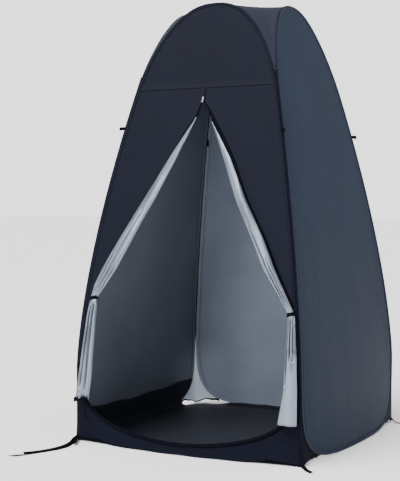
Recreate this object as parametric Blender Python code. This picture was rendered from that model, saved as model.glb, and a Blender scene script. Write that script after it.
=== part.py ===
"""Pop-up privacy shower tent, door tied open.

Four closed spring-steel hoops, one to a wall, carry the fabric. Each hoop lies in a binding sleeve sewn round
its wall panel; a gusset joins neighbouring sleeves at each corner, and a roof of four gores joins the arches.
Frame: +Z up, the door faces -Y, the origin is on the ground at the middle of the groundsheet. Metres.
"""
import math

import bmesh
import bpy
from mathutils import Matrix, Vector

# Walls
BASE_HALF = 0.60          # corner to centre line, at the ground
HEIGHT = 2.14             # top of the arches
LEAN_START = 0.35         # the walls are upright below this height
LEAN = 0.134              # lean = LEAN * (height above LEAN_START) ** LEAN_POWER
LEAN_POWER = 1.5
BULGE_HEIGHT = 1.0        # the walls bow out between the corners below this height
FABRIC = 0.0008

# Hoops
HOOP_INSET = 0.010        # hoop centre line to the corner edge
ARCH_START = 1.66         # the arch begins at this height
ARCH_POWER = 2.5
SWEEP_START = 0.75        # the bottom sweep begins at this height
SWEEP_POWER = 8.0
HOOP_STEPS = 26           # steps along one half of a hoop
WIRE_R = 0.00175
FERRULE_R = 0.0028
FERRULE_BORE = 0.00215
FERRULE_LENGTH = 0.030
SLEEVE_DEPTH = 0.006      # centre line to the sleeve's open lips
SLEEVE_BACK = 0.0045
SLEEVE_HALF = 0.004
SLEEVE_WALL = 0.0008
PANEL_EDGE = 0.0042       # hoop centre line to the panel's edge, inside the lips
CLEAR = 0.0056            # hoop centre line to the fabric outside the sleeve

# Each wall: turn about +Z, height of the hoop's lowest point, squareness of its bottom, bow at the ground
WALLS = {
    "front": (0.0, 0.045, 1.7, 0.070),
    "right": (90.0, 0.0055, 5.0, 0.045),
    "rear": (180.0, 0.0055, 5.0, 0.045),
    "left": (270.0, 0.0055, 5.0, 0.045),
}

# Fold: closing corners turn about a line just inside the corner, opening corners about one outside it
FOLD_SLOPE = 0.15
CLOSING_BASE = 0.602
OPENING_BASE = 0.71

# Door
SEAM_Z = 1.725            # seam between the valance and the door flaps
DOOR_TOP = 1.655
TIE_Z = 0.685
TIE_HALF = 0.508          # centre line to the opening's edge at the ties
EDGE_POWER = 1.12
FLAP_BOTTOM = 0.215
FLAP_STRIP = 0.012        # width of flap left beside the hoop at the bottom
ROLL_TOP_Z = 1.635
TAIL_BOTTOM_Z = 0.200
ROLL_GAP = 0.0050         # panel to the back of the gathered flap
PINCH_HALF = 0.017
TIE_GAP = 0.0022
TIE_WALL = 0.0012
TIE_HEIGHT = 0.018

# Skirt, gussets and floor
GROUND_GAP = 0.0008
GUSSET_START = 0.45
GUSSET_TOP = 1.79
FLOOR_HALF = 0.582
FLOOR_INSET = 0.018       # front wall to the floor's front edge
FLOOR_TURN_UP = 0.14

# Roof
ROOF_SAG = 0.022
GORE_ROWS = 4
GORE_GAP = 0.0007
GORE_START = 1.80         # the gores begin here; below it the corner gussets fill the narrow gap
GORE_EDGE = 0.008         # hoop centre line to the gore's edge
GORE_DIAMOND = 0.22       # the cloth between the arch tops is level inside this offset

# Loops, straps and peg
GUY_Z = 1.516
LOOP_WALL = 0.0015
LOOP_WIDTH = 0.016
STRAP_R = 0.0025
STRAP_STEP = 0.014
PEG_R = 0.0021

NAVY = (0.020, 0.023, 0.036)
SLATE = (0.045, 0.056, 0.077)
SILVER = (0.52, 0.56, 0.62)


def material(name, colour, roughness, metallic=0.0):
    """One Principled material."""
    found = bpy.data.materials.get(name)
    if found:
        return found
    made = bpy.data.materials.new(name)
    made.use_nodes = True
    shader = made.node_tree.nodes["Principled BSDF"]
    shader.inputs["Base Color"].default_value = (*colour, 1.0)
    shader.inputs["Roughness"].default_value = roughness
    shader.inputs["Metallic"].default_value = metallic
    return made


def front_fabric():
    return material("navy_fabric", NAVY, 0.75)


def wall_fabric():
    return material("slate_fabric", SLATE, 0.70)


def webbing():
    return material("black_webbing", (0.012, 0.013, 0.018), 0.85)


def steel():
    return material("spring_steel", (0.48, 0.49, 0.50), 0.30, 1.0)


def add_object(name, mesh, paint, smooth=True):
    """Links a mesh as a named object with its own material."""
    if smooth:
        mesh.shade_smooth()
        mesh.set_sharp_from_angle(angle=math.radians(40))
    mesh.materials.append(paint)
    made = bpy.data.objects.new(name, mesh)
    bpy.context.scene.collection.objects.link(made)
    return made


def mesh_from(name, points, faces):
    """A mesh from points and faces, its faces turned outward."""
    mesh = bpy.data.meshes.new(name)
    mesh.from_pydata(points, [], faces)
    work = bmesh.new()
    work.from_mesh(mesh)
    bmesh.ops.recalc_face_normals(work, faces=work.faces)
    work.to_mesh(mesh)
    work.free()
    return mesh


# Wall surface -------------------------------------------------------------------------------------------------

def lean(z):
    """Distance from the tent's axis to a wall's corner edges at height z."""
    return BASE_HALF - LEAN * max(0.0, z - LEAN_START) ** LEAN_POWER


def wall_distance(wall, u, z):
    """Distance from the axis to the wall at offset u from its middle."""
    bow = WALLS[wall][3] * max(0.0, 1.0 - z / BULGE_HEIGHT) ** 2
    return lean(z) + bow * (1.0 - (u / lean(z)) ** 2)


def wall_normal(wall, u, z):
    """Outward normal of the wall, in the wall's own frame."""
    step = 0.001
    across = (wall_distance(wall, u + step, z) - wall_distance(wall, u - step, z)) / (2 * step)
    up = (wall_distance(wall, u, z + step) - wall_distance(wall, u, z - step)) / (2 * step)
    return Vector((-across, -1.0, -up)).normalized()


def turn(wall):
    return Matrix.Rotation(math.radians(WALLS[wall][0]), 3, "Z")


def on_wall(wall, u, z, out=0.0):
    """A point on the wall, moved out of it by a distance."""
    point = Vector((u, -wall_distance(wall, u, z), z)) + wall_normal(wall, u, z) * out
    return turn(wall) @ point


# Hoop outline -------------------------------------------------------------------------------------------------

def evenly(points, count):
    """The same path with count equal steps."""
    lengths = [0.0]
    for a, b in zip(points, points[1:]):
        lengths.append(lengths[-1] + (b - a).length)
    out = []
    at = 0
    for i in range(count + 1):
        want = lengths[-1] * i / count
        while at < len(points) - 2 and lengths[at + 1] < want:
            at += 1
        span = max(1e-12, lengths[at + 1] - lengths[at])
        share = min(1.0, max(0.0, (want - lengths[at]) / span))
        out.append(points[at].lerp(points[at + 1], share))
    return out


def hoop_outline(wall, grow=0.0, count=HOOP_STEPS):
    """Half of the hoop's outline as (u, z) from its lowest point up to the arch top, moved outward by grow."""
    _, sill, squareness, _ = WALLS[wall]
    steps = 90
    path = []
    for i in range(steps + 1):
        angle = math.pi / 2 * i / steps
        z = SWEEP_START - (SWEEP_START - sill) * math.cos(angle) ** (2 / SWEEP_POWER)
        path.append(Vector(((lean(z) - HOOP_INSET) * math.sin(angle) ** (2 / squareness), z)))
    for i in range(1, steps):
        z = SWEEP_START + (ARCH_START - SWEEP_START) * i / steps
        path.append(Vector((lean(z) - HOOP_INSET, z)))
    for i in range(steps + 1):
        angle = math.pi / 2 * i / steps
        z = ARCH_START + (HEIGHT - SLEEVE_BACK - ARCH_START) * math.sin(angle) ** (2 / ARCH_POWER)
        path.append(Vector(((lean(z) - HOOP_INSET) * max(0.0, math.cos(angle)) ** (2 / ARCH_POWER), z)))
    path = evenly(path, count)
    grown = []
    for i, point in enumerate(path):
        into = (point - path[max(i - 1, 0)]) if i else (path[1] - path[0])
        away = (path[i + 1] - point) if i < count else into
        into, away = into.normalized(), away.normalized()
        along = (into + away).normalized()
        mitre = max(0.5, along.dot(into))
        grown.append(point + Vector((along.y, -along.x)) * grow / mitre)
    grown[0].x = 0.0
    grown[-1].x = 0.0
    return grown


def padded(points, count):
    """The same path with points added on its longest runs until it has count points."""
    points = list(points)
    while len(points) < count:
        runs = [(b - a).length for a, b in zip(points, points[1:])]
        at = runs.index(max(runs))
        points.insert(at + 1, points[at].lerp(points[at + 1], 0.5))
    return points


def outline_u(outline, z):
    """Half-width of an outline at height z, on its outer side."""
    for a, b in zip(outline, outline[1:]):
        if a.y <= z <= b.y:
            return a.x + (b.x - a.x) * (z - a.y) / max(1e-9, b.y - a.y)
    return outline[0].x if z < outline[0].y else outline[-1].x


def outline_z(outline, u):
    """Height of an outline's bottom sweep at offset u."""
    for a, b in zip(outline, outline[1:]):
        if a.x <= u <= b.x:
            return a.y + (b.y - a.y) * (u - a.x) / max(1e-9, b.x - a.x)
    return outline[0].y


# Shape makers -------------------------------------------------------------------------------------------------

def sheet(name, rows, paint, tip=None):
    """A thin cloth solid from rows of points, with an optional single point above the last row."""
    width = len(rows[0])
    points = [p for row in rows for p in row]
    faces = []
    for r in range(len(rows) - 1):
        for c in range(width - 1):
            a = r * width + c
            faces.append((a, a + 1, a + 1 + width, a + width))
    if tip is not None:
        last = (len(rows) - 1) * width
        faces += [(last + c, last + c + 1, len(points)) for c in range(width - 1)]
        points.append(tip)
    made = add_object(name, mesh_from(name, points, faces), paint)
    skin = made.modifiers.new("thickness", "SOLIDIFY")
    skin.thickness = FABRIC
    skin.offset = 0.0
    skin.use_even_offset = True
    return made


def ring_body(name, rings, paint, closed=False, smooth=True):
    """A solid from rings of points, joined in order; ends are capped unless the rings close on themselves."""
    count = len(rings[0])
    points = [p for ring in rings for p in ring]
    faces = []
    for r in range(len(rings) if closed else len(rings) - 1):
        here = r * count
        there = ((r + 1) % len(rings)) * count
        for c in range(count):
            d = (c + 1) % count
            faces.append((here + c, here + d, there + d, there + c))
    if not closed:
        faces.append(tuple(range(count)))
        faces.append(tuple(reversed(range((len(rings) - 1) * count, len(rings) * count))))
    return add_object(name, mesh_from(name, points, faces), paint, smooth)


def tube_with_bore(name, centre, axis, length, outer, bore, paint, sides=16):
    """A straight tube: rings go out along the outside and back through the bore."""
    spin = Vector((0, 0, 1)).rotation_difference(axis).to_matrix()
    corners = ((outer, -length / 2), (outer, length / 2), (bore, length / 2), (bore, -length / 2))
    rings = []
    for i in range(sides):
        angle = 2 * math.pi * i / sides
        ring = [Vector((r * math.cos(angle), r * math.sin(angle), h)) for r, h in corners]
        rings.append([centre + spin @ p for p in ring])
    return ring_body(name, rings, paint, closed=True)


def hoop_frames(wall):
    """Centre, outward radial direction and wall normal at each step round the closed hoop."""
    half = hoop_outline(wall)
    loop = [(p.x, p.y) for p in half] + [(-p.x, p.y) for p in reversed(half[1:-1])]
    centres = [on_wall(wall, u, z) for u, z in loop]
    frames = []
    for i, (u, z) in enumerate(loop):
        along = (centres[(i + 1) % len(centres)] - centres[i - 1]).normalized()
        normal = turn(wall) @ wall_normal(wall, u, z)
        radial = along.cross(normal).normalized()
        normal = radial.cross(along).normalized()
        frames.append((centres[i], radial, normal))
    return frames


def make_hoop(wall):
    """The closed spring-steel hoop, the ferrule over its joint and the sleeve sewn round it."""
    frames = hoop_frames(wall)
    circle = [(WIRE_R * math.cos(math.tau * i / 6), WIRE_R * math.sin(math.tau * i / 6)) for i in range(6)]
    wire = [[c + r * a + n * b for a, b in circle] for c, r, n in frames]
    hoop = ring_body(wall + "_hoop", wire, steel(), closed=True)

    outside, wall_in = SLEEVE_BACK, SLEEVE_BACK - SLEEVE_WALL
    inner = SLEEVE_HALF - SLEEVE_WALL
    channel = (
        (-SLEEVE_DEPTH, SLEEVE_HALF), (outside, SLEEVE_HALF), (outside, -SLEEVE_HALF), (-SLEEVE_DEPTH, -SLEEVE_HALF),
        (-SLEEVE_DEPTH, -inner), (wall_in, -inner), (wall_in, inner), (-SLEEVE_DEPTH, inner),
    )
    rings = [[c + r * a + n * b for a, b in channel] for c, r, n in frames]
    sleeve = ring_body(wall + "_sleeve", rings, webbing(), closed=True, smooth=False)

    start, end = frames[0][0], frames[1][0]
    joint = tube_with_bore(wall + "_hoop_ferrule", (start + end) / 2, (end - start).normalized(),
                           FERRULE_LENGTH, FERRULE_R, FERRULE_BORE, steel())
    return [hoop, joint, sleeve]


def make_panel(wall):
    """A whole wall panel, filled to the hoop."""
    outline = hoop_outline(wall, -PANEL_EDGE)
    columns = 6
    rows = []
    for point in outline[1:-1]:
        rows.append([on_wall(wall, point.x * (2 * c / columns - 1), point.y) for c in range(columns + 1)])
    top = on_wall(wall, 0.0, outline[-1].y)
    return sheet(wall + "_panel", rows, wall_fabric(), top)


def make_corner_gusset(name, first, second):
    """The fabric between two neighbouring hoops: a strip at the corner that widens to a triangle at the ground."""
    def edge(wall):
        outline = hoop_outline(wall, CLEAR)
        low = outline_z(outline, GUSSET_START)
        path = [Vector((GUSSET_START, GROUND_GAP)), Vector((GUSSET_START, low))]
        path += [p for p in outline if low + 0.004 < p.y < GUSSET_TOP - 0.01]
        path.append(Vector((outline_u(outline, GUSSET_TOP), GUSSET_TOP)))
        return path

    ends = (edge(first), edge(second))
    steps = max(len(end) for end in ends) + 2
    ends = [padded(end, steps + 1) for end in ends]
    across = 2
    rows = []
    for i in range(steps + 1):
        height = GROUND_GAP + (GUSSET_TOP - GROUND_GAP) * (i / steps) ** 1.25
        row = []
        for c in range(across):
            at = ends[0][i].lerp(Vector((lean(height), height)), c / across)
            row.append(on_wall(first, at.x, at.y))
        row.append(turn(first) @ Vector((lean(height), -lean(height), height)))
        for c in range(1, across + 1):
            at = Vector((lean(height), height)).lerp(ends[1][i], c / across)
            row.append(on_wall(second, -at.x, at.y))
        rows.append(row)
    return sheet(name, rows, front_fabric())


# Front wall ---------------------------------------------------------------------------------------------------

def make_valance():
    """The fixed top of the front wall, above the seam."""
    outline = hoop_outline("front", -PANEL_EDGE)
    bottom = SEAM_Z + 0.0004
    columns = 10
    heights = [bottom] + [p.y for p in outline if p.y > bottom + 0.02][:-1]
    rows = []
    for z in heights:
        half = outline_u(outline, z)
        rows.append([on_wall("front", half * (2 * c / columns - 1), z) for c in range(columns + 1)])
    return sheet("front_valance", rows, front_fabric(), on_wall("front", 0.0, outline[-1].y))


def opening_half(z, outline):
    """Centre line to the edge of the door opening at height z."""
    if z >= DOOR_TOP:
        return 0.0
    if z >= TIE_Z:
        return TIE_HALF * ((DOOR_TOP - z) / (DOOR_TOP - TIE_Z)) ** EDGE_POWER
    strip = outline_u(outline, TIE_Z) - TIE_HALF
    share = (TIE_Z - z) / (TIE_Z - FLAP_BOTTOM)
    return outline_u(outline, z) - strip - (FLAP_STRIP - strip) * share


def make_flap(side, sign):
    """The part of a door flap that stays flat between the hoop and the tied-back edge."""
    outline = hoop_outline("front", -PANEL_EDGE)
    rows = []
    steps = 20
    columns = 3
    top = SEAM_Z - 0.0004
    for r in range(steps + 1):
        z = FLAP_BOTTOM + (top - FLAP_BOTTOM) * r / steps
        inner = max(opening_half(z, outline), 0.0035)
        outer = outline_u(outline, z)
        rows.append([on_wall("front", sign * (inner + (outer - inner) * c / columns), z)
                     for c in range(columns + 1)])
    return sheet("door_flap_" + side, rows, front_fabric())


def gather_section(z, outline):
    """Centre offset, half-width and half-depth of the gathered flap: a roll, a pinch at the tie, then a tail."""
    if z >= TIE_Z:
        share = (ROLL_TOP_Z - z) / (ROLL_TOP_Z - TIE_Z)
        full = 0.005 + 0.021 * math.sin(math.pi * min(1.0, share * 1.08) * 0.5)
        pinch = math.exp(-((z - TIE_Z) / 0.05) ** 2)
        half = full * (1 - pinch) + PINCH_HALF * pinch
        return opening_half(z, outline) + half + 0.002, half, 0.004 + 0.005 * share
    share = (TIE_Z - z) / (TIE_Z - TAIL_BOTTOM_Z)
    half = PINCH_HALF + 0.028 * share ** 0.8
    centre = min(TIE_HALF + PINCH_HALF + 0.002, outline_u(outline, z) - half + 0.012)
    return centre, half, 0.009 + 0.005 * math.sin(math.pi * min(1.0, share))


def make_gather(side, sign):
    """The rest of the flap: rolled back outside the panel, pinched by the tie, its tail hanging free."""
    outline = hoop_outline("front", -PANEL_EDGE)
    around = 10
    rings = []
    above = [ROLL_TOP_Z + (TIE_Z + 0.03 - ROLL_TOP_Z) * i / 14 for i in range(15)]
    pinched = [TIE_Z + rise * TIE_HEIGHT for rise in (0.7, 0.0, -0.7)]
    below = [TIE_Z - 0.03 + (TAIL_BOTTOM_Z - TIE_Z + 0.03) * i / 8 for i in range(9)]
    for z in above + pinched + below:
        centre, half, depth = gather_section(z, outline)
        ring = []
        for k in range(around):
            angle = math.tau * k / around
            u = sign * (centre + half * math.cos(angle))
            ring.append(on_wall("front", u, z, ROLL_GAP + depth * (1 + math.sin(angle))))
        rings.append(ring)
    return ring_body("door_gather_" + side, rings, material("silver_lining", SILVER, 0.35, 0.35))


def make_tie(side, sign):
    """The loop of tape that holds the gathered flap."""
    outline = hoop_outline("front", -PANEL_EDGE)
    corners = ((0.0, -1), (0.0, 1), (TIE_WALL, 1), (TIE_WALL, -1))
    rings = []
    for k in range(18):
        angle = math.tau * k / 18
        ring = []
        for grow, rise in corners:
            z = TIE_Z + rise * TIE_HEIGHT / 2
            centre, half, depth = gather_section(z, outline)
            u = sign * (centre + (half + TIE_GAP + grow) * math.cos(angle))
            out = ROLL_GAP + depth + (depth + TIE_GAP + grow) * math.sin(angle)
            ring.append(on_wall("front", u, z, out))
        rings.append(ring)
    return ring_body("door_tie_" + side, rings, webbing(), closed=True, smooth=False)


def make_zip():
    """The closed length of zip above the opening, its slider and the pull on its pivot."""
    half = 0.0028
    rows = []
    for i in range(5):
        z = DOOR_TOP + 0.004 + (SEAM_Z - 0.004 - DOOR_TOP - 0.004) * i / 4
        rows.append([on_wall("front", half * (c - 1), z) for c in range(3)])
    coil = sheet("zip_coil", rows, webbing())

    slider_z = DOOR_TOP + 0.012
    outward = turn("front") @ wall_normal("front", 0.0, slider_z)
    upward = outward.cross(Vector((1, 0, 0))).normalized()
    frame = Matrix((Vector((1, 0, 0)), -outward, upward)).transposed()
    chrome = material("zip_metal", (0.62, 0.63, 0.64), 0.22, 1.0)

    work = bmesh.new()
    bmesh.ops.create_cube(work, size=1.0)
    bmesh.ops.scale(work, vec=(0.008, 0.0035, 0.013), verts=work.verts)
    bmesh.ops.bevel(work, geom=list(work.edges), offset=0.0009, segments=2, affect="EDGES", profile=0.5)
    mesh = bpy.data.meshes.new("zip_slider")
    work.to_mesh(mesh)
    work.free()
    slider = add_object("zip_slider", mesh, chrome)
    slider.matrix_world = Matrix.Translation(on_wall("front", 0.0, slider_z, 0.0030)) @ frame.to_4x4()

    pivot = on_wall("front", 0.0, slider_z + 0.003, 0.0066)
    pull = tapered_pull("zip_pull", chrome)
    pull.matrix_world = Matrix.Translation(pivot) @ frame.to_4x4()
    return [coil, slider], pull


def tapered_pull(name, paint):
    """A flat drop-shaped pull with an eye, its pivot at the local origin."""
    length, narrow, wide, thick = 0.025, 0.0022, 0.0042, 0.0014
    eye = 0.0011
    rings = []
    for i in range(9):
        share = i / 8
        half = narrow + (wide - narrow) * math.sin(math.pi / 2 * share)
        if i in (0, 8):
            half *= 0.55
        ring = []
        for x, y in ((-half, -thick / 2), (half, -thick / 2), (half, thick / 2), (-half, thick / 2)):
            ring.append(Vector((x, y, eye - length * share)))
        rings.append(ring)
    return ring_body(name, rings, paint, smooth=False)


def make_skirt():
    """The strip below the front hoop, down to the ground."""
    outline = hoop_outline("front", CLEAR)
    columns = 20
    half = GUSSET_START - 0.0008
    rows = []
    for r in range(4):
        row = []
        for c in range(columns + 1):
            u = half * (2 * c / columns - 1)
            top = outline_z(outline, abs(u)) - 0.0010
            row.append(on_wall("front", u, GROUND_GAP + (top - GROUND_GAP) * r / 3))
        rows.append(row)
    return sheet("front_skirt", rows, front_fabric())


def make_groundsheet():
    """The loose floor, one edge turned up along the left wall."""
    steps = 6
    profile = [(FLOOR_HALF - 2 * FLOOR_HALF * i / steps, GROUND_GAP / 2) for i in range(steps)]
    bend = 0.012
    for i in range(5):
        angle = math.pi / 2 * i / 4
        profile.append((-FLOOR_HALF + bend * (1 - math.sin(angle)), GROUND_GAP / 2 + bend * (1 - math.cos(angle))))
    profile.append((-FLOOR_HALF, FLOOR_TURN_UP))
    rows = []
    for x, z in profile:
        front = FLOOR_INSET - wall_distance("front", x, 0.0)
        rows.append([Vector((x, front + (FLOOR_HALF - front) * c / 6, z)) for c in range(7)])
    return sheet("groundsheet", rows, material("floor_fabric", (0.012, 0.013, 0.020), 0.6))


# Roof ---------------------------------------------------------------------------------------------------------

def roof_height(x, y, arch):
    """The cloth runs level from arch to arch across each corner, with a slight sag between them."""
    reach = abs(x) + abs(y)
    height = arch[-1].y
    for a, b in zip(arch, arch[1:]):
        near, far = b.x + lean(b.y), a.x + lean(a.y)
        if near <= reach <= far:
            height = a.y + (b.y - a.y) * (far - reach) / max(1e-9, far - near)
            break
    else:
        if reach > arch[0].x + lean(arch[0].y):
            height = arch[0].y
    edge = lean(height)
    return height - ROOF_SAG * max(0.0, 1 - (x / edge) ** 2) * max(0.0, 1 - (y / edge) ** 2)


def make_gore(wall):
    """One quarter of the roof, from a wall's arch to the diagonals and the middle."""
    arch = [p for p in hoop_outline(wall, 0.0, 40) if p.y >= GORE_START]
    fine = [p for p in hoop_outline(wall, 0.0, 240) if p.y >= GORE_START - 0.02]
    side = []
    for p in arch:
        on_arch = Vector((p.x, -lean(p.y)))
        reach = (p.x + lean(p.y)) / 2 * min(1.0, p.x / GORE_DIAMOND)
        inner = Vector((reach, -reach))
        side.append((on_arch + (inner - on_arch).normalized() * GORE_EDGE, inner))
    mirror = [(Vector((-a.x, a.y)), Vector((-b.x, b.y))) for a, b in side]
    lines = mirror + list(reversed(side[:-1]))
    rows = []
    for r in range(GORE_ROWS + 1):
        row = []
        for outer, inner in lines:
            at = outer.lerp(inner, r / GORE_ROWS * 0.985)
            row.append(turn(wall) @ Vector((at.x, at.y - GORE_GAP, roof_height(at.x, at.y, fine))))
        rows.append(row)
    return sheet("roof_gore_" + wall, rows, wall_fabric())


# Loops, straps, peg -------------------------------------------------------------------------------------------

def make_guy_loop(name, wall, sign):
    """A folded tape loop at a corner, its slot upright so that a guy line passes through."""
    edge = lean(GUY_Z - LOOP_WIDTH / 2) + 0.0018
    corner = turn(wall) @ Vector((sign * edge, -edge, GUY_Z))
    outward = Vector((corner.x, corner.y, 0.0)).normalized()
    sideways = Vector((-outward.y, outward.x, 0.0))
    long_half, short_half = 0.012, 0.006
    rings = []
    for k in range(14):
        angle = math.tau * k / 14
        ring = []
        for grow, rise in ((0, -1), (0, 1), (LOOP_WALL, 1), (LOOP_WALL, -1)):
            along = (long_half + grow) * math.cos(angle)
            over = (short_half + grow) * math.sin(angle)
            point = corner + outward * (along + long_half) + sideways * over
            ring.append(point + Vector((0, 0, rise * LOOP_WIDTH / 2)))
        rings.append(ring)
    return ring_body(name, rings, webbing(), closed=True, smooth=False)


def make_inner_loop():
    """A small hanging loop inside the rear left corner."""
    edge = lean(GUY_Z) - 0.016
    centre = Vector((-edge, edge, GUY_Z - 0.02))
    rings = []
    for k in range(12):
        angle = math.tau * k / 12
        ring = []
        for grow, side in ((0, -1), (0, 1), (0.0012, 1), (0.0012, -1)):
            across = Vector((1, 1, 0)).normalized() * side * 0.005
            inward = Vector((1, -1, 0)).normalized() * (0.006 + grow) * math.cos(angle)
            ring.append(centre + across + inward + Vector((0, 0, (0.018 + grow) * math.sin(angle))))
        rings.append(ring)
    return ring_body("inner_hanging_loop", rings, webbing(), closed=True, smooth=False)


def smooth_route(route, count):
    """A smooth curve through the route's points, read off at equal steps."""
    fine = []
    last = len(route) - 1
    for i in range(last):
        p0, p1 = route[max(i - 1, 0)], route[i]
        p2, p3 = route[i + 1], route[min(i + 2, last)]
        for k in range(12):
            t = k / 12
            fine.append(0.5 * (2 * p1 + (p2 - p0) * t + (2 * p0 - 5 * p1 + 4 * p2 - p3) * t * t
                               + (3 * p1 - p0 - 3 * p2 + p3) * t ** 3))
    fine.append(route[last])
    return evenly(fine, count)


def make_strap(name, route):
    """A limp peg strap lying on the ground."""
    route = [Vector(p) for p in route]
    length = sum((b - a).length for a, b in zip(route, route[1:]))
    points = smooth_route(route, round(length / STRAP_STEP))
    curve = bpy.data.curves.new(name, "CURVE")
    curve.dimensions = "3D"
    curve.bevel_depth = STRAP_R
    curve.bevel_resolution = 2
    curve.render_resolution_u = 0
    curve.use_fill_caps = True
    spline = curve.splines.new("POLY")
    spline.points.add(len(points) - 1)
    for place, point in zip(spline.points, points):
        place.co = (*point, 1.0)
    curve.materials.append(webbing())
    made = bpy.data.objects.new(name, curve)
    bpy.context.scene.collection.objects.link(made)
    return made


def strap_route(sx, sy, length, sway):
    """Runs out from a ground corner, drops to the ground and wanders."""
    start = BASE_HALF + 0.006
    low = STRAP_R + 0.0004
    out = Vector((sx, sy, 0.0)).normalized()
    side = Vector((-out.y, out.x, 0.0))
    route = []
    for i in range(9):
        share = i / 8
        wave = sway * math.sin(2.2 * math.pi * share) * (0.3 + 0.7 * share)
        place = Vector((sx * start, sy * start, 0)) + out * length * share + side * wave
        route.append((place.x, place.y, low + 0.012 * (1 - share) ** 6))
    return route


FRONT_LEFT_ROUTE = [
    (-0.606, -0.607, 0.0150), (-0.589, -0.645, 0.0095), (-0.560, -0.705, 0.0035), (-0.544, -0.762, 0.0029),
    (-0.547, -0.820, 0.0029), (-0.559, -0.862, 0.0029), (-0.575, -0.905, 0.0029), (-0.594, -0.950, 0.0029),
    (-0.611, -0.985, 0.0029), (-0.620, -1.002, 0.0029),
]
REAR_RIGHT_ROUTE = [
    (0.606, 0.606, 0.0149), (0.619, 0.590, 0.0060), (0.634, 0.573, 0.0029), (0.651, 0.561, 0.0029),
    (0.669, 0.558, 0.0029), (0.684, 0.565, 0.0029), (0.692, 0.580, 0.0029), (0.694, 0.597, 0.0029),
]


def make_peg():
    """A wire tent peg lying on the ground, its hooked end at the strap's end."""
    pivot = Vector((-0.6212, -1.0046, PEG_R + 0.0006))
    run = Vector((-0.62, -0.785, 0.0)).normalized()
    side = Vector((-run.y, run.x, 0.0))
    path = [side * 0.018 + run * 0.052, side * 0.016 + run * 0.030]
    for i in range(9):
        angle = math.pi * (i / 8)
        path.append(side * 0.007 * (1 + math.cos(angle)) + run * (-0.006 * math.sin(angle) + 0.006))
    path += [run * 0.03, run * 0.06, run * 0.077]
    rings = []
    for i, point in enumerate(path):
        along = (path[min(i + 1, len(path) - 1)] - path[max(i - 1, 0)]).normalized()
        across = along.cross(Vector((0, 0, 1))).normalized()
        slim = 0.35 if i == len(path) - 1 else 1.0
        rings.append([point + (across * math.cos(math.tau * k / 8) + Vector((0, 0, math.sin(math.tau * k / 8))))
                      * PEG_R * slim for k in range(8)])
    peg = ring_body("peg_front_left", rings, steel())
    peg.location = pivot
    return peg


# Assembly -----------------------------------------------------------------------------------------------------

def fold_empty(name, sx, sy, base):
    """An empty on a fold line, its Z axis along the line."""
    axis = Vector((-sx * FOLD_SLOPE, -sy * FOLD_SLOPE, 1.0)).normalized()
    empty = bpy.data.objects.new(name, None)
    bpy.context.scene.collection.objects.link(empty)
    empty.matrix_world = (Matrix.Translation((sx * base, sy * base, 0.0))
                          @ Vector((0, 0, 1)).rotation_difference(axis).to_matrix().to_4x4())
    return empty


def hold(parent, pieces):
    """Parents pieces to an empty without moving them."""
    bpy.context.view_layer.update()
    for piece in pieces:
        piece.parent = parent
        piece.matrix_parent_inverse = parent.matrix_world.inverted()


def build():
    for old in list(bpy.data.objects):
        bpy.data.objects.remove(old)

    right_axis = fold_empty("right_fold_axis", 1, -1, CLOSING_BASE)
    left_axis = fold_empty("left_fold_axis", -1, -1, OPENING_BASE)
    rear_axis = fold_empty("rear_fold_axis", -1, 1, CLOSING_BASE)
    hold(left_axis, [rear_axis])

    make_hoop("front")
    make_valance()
    for side, sign in (("left", -1), ("right", 1)):
        make_flap(side, sign)
        make_gather(side, sign)
        make_tie(side, sign)
        make_guy_loop("guy_loop_front_" + side, "front", sign)
    make_zip()
    make_skirt()
    make_groundsheet()
    make_gore("front")
    make_corner_gusset("gusset_front_right", "front", "right")
    make_corner_gusset("gusset_front_left", "left", "front")
    make_strap("peg_strap_front_left", FRONT_LEFT_ROUTE)
    make_strap("peg_strap_front_right", strap_route(1, -1, 0.135, 0.003))
    make_peg()

    right = make_hoop("right") + [make_panel("right"), make_gore("right")]
    right.append(make_guy_loop("guy_loop_rear_right", "right", 1))
    right.append(make_strap("peg_strap_rear_right", REAR_RIGHT_ROUTE))
    right.append(make_corner_gusset("gusset_rear_right", "right", "rear"))
    hold(right_axis, right)

    left = make_hoop("left") + [make_panel("left"), make_gore("left")]
    left.append(make_guy_loop("guy_loop_rear_left", "left", -1))
    left.append(make_inner_loop())
    left.append(make_strap("peg_strap_rear_left", strap_route(-1, 1, 0.16, -0.012)))
    left.append(make_corner_gusset("gusset_rear_left", "rear", "left"))
    hold(left_axis, left)

    rear = make_hoop("rear") + [make_panel("rear"), make_gore("rear")]
    hold(rear_axis, rear)


build()
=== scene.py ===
"""Looks of the pop-up privacy shower tent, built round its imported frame. Metres, +Z up, the door faces -Y.

Each wall's cloth, its binding, the tied-back door, the corner gussets, the roof and the floor are curved
sheets worked out from the same few driving dimensions as the frame.
"""
from math import copysign, cos, exp, pi, radians, sin, sqrt, tau

import bpy
from mathutils import Matrix, Vector, noise


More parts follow.
